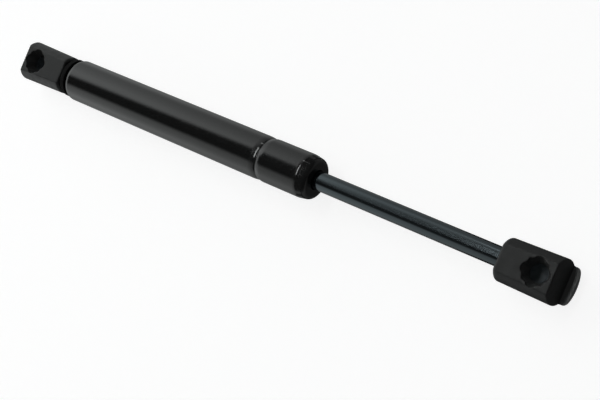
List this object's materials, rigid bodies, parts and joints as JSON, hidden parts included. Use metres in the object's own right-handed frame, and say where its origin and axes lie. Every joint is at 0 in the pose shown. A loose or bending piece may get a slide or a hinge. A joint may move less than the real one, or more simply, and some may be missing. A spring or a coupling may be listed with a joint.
{
  "type": "gas strut stay",
  "caption": "Gas spring with a black rolled tube, a polished dark rod that slides and turns, and a moulded ball-socket fitting at each end.",
  "frame": {"origin": "centre of the ball that the tube-end socket takes", "axes": "+X along the strut from the tube end to the rod end, +Z the way that both sockets open, +Y completes the right-handed frame"},
  "size_m": [0.289, 0.019, 0.019],
  "materials": {
    "tube_paint": "gloss",
    "fitting_moulding": "fine matte",
    "rod_steel": "polished, dark nitrided",
    "zinc_steel": "zinc plated",
    "black_steel": "black phosphated",
    "black_rubber": "moulded",
    "sintered_bronze": "sintered",
    "guide_moulding": "matte",
    "ring_moulding": "matte"
  },
  "bodies": {
    "tube": {"pressure_tube": "tube_paint", "base_plug": "zinc_steel", "base_o_ring": "black_rubber", "base_stud": "black_steel", "base_washer": "black_rubber", "tube_end_socket": "fitting_moulding", "seal_support_washer": "zinc_steel", "rod_seal": "black_rubber", "rod_guide": "guide_moulding", "guide_bush": "sintered_bronze", "guide_o_ring": "black_rubber", "end_washer": "zinc_steel", "rod_wiper": "black_rubber"},
    "ring": {"piston_ring": "ring_moulding"},
    "rod": {"piston_rod": "rod_steel", "rod_end_socket": "fitting_moulding", "piston_front_washer": "zinc_steel", "piston": "guide_moulding", "orifice_disc": "zinc_steel", "piston_back_washer": "zinc_steel", "piston_nut": "zinc_steel"}
  },
  "joints": [
    {"name": "rod_slide", "type": "slide", "parent": "tube", "child": "ring", "axis": [1, 0, 0], "range_m": [-0.08, 0], "stiffness_N_per_m": 40, "springref_m": 0.35},
    {"name": "rod_spin", "type": "hinge", "parent": "ring", "child": "rod", "pos_m": [0.2, 0, 0], "axis": [1, 0, 0], "continuous": true}
  ]
}
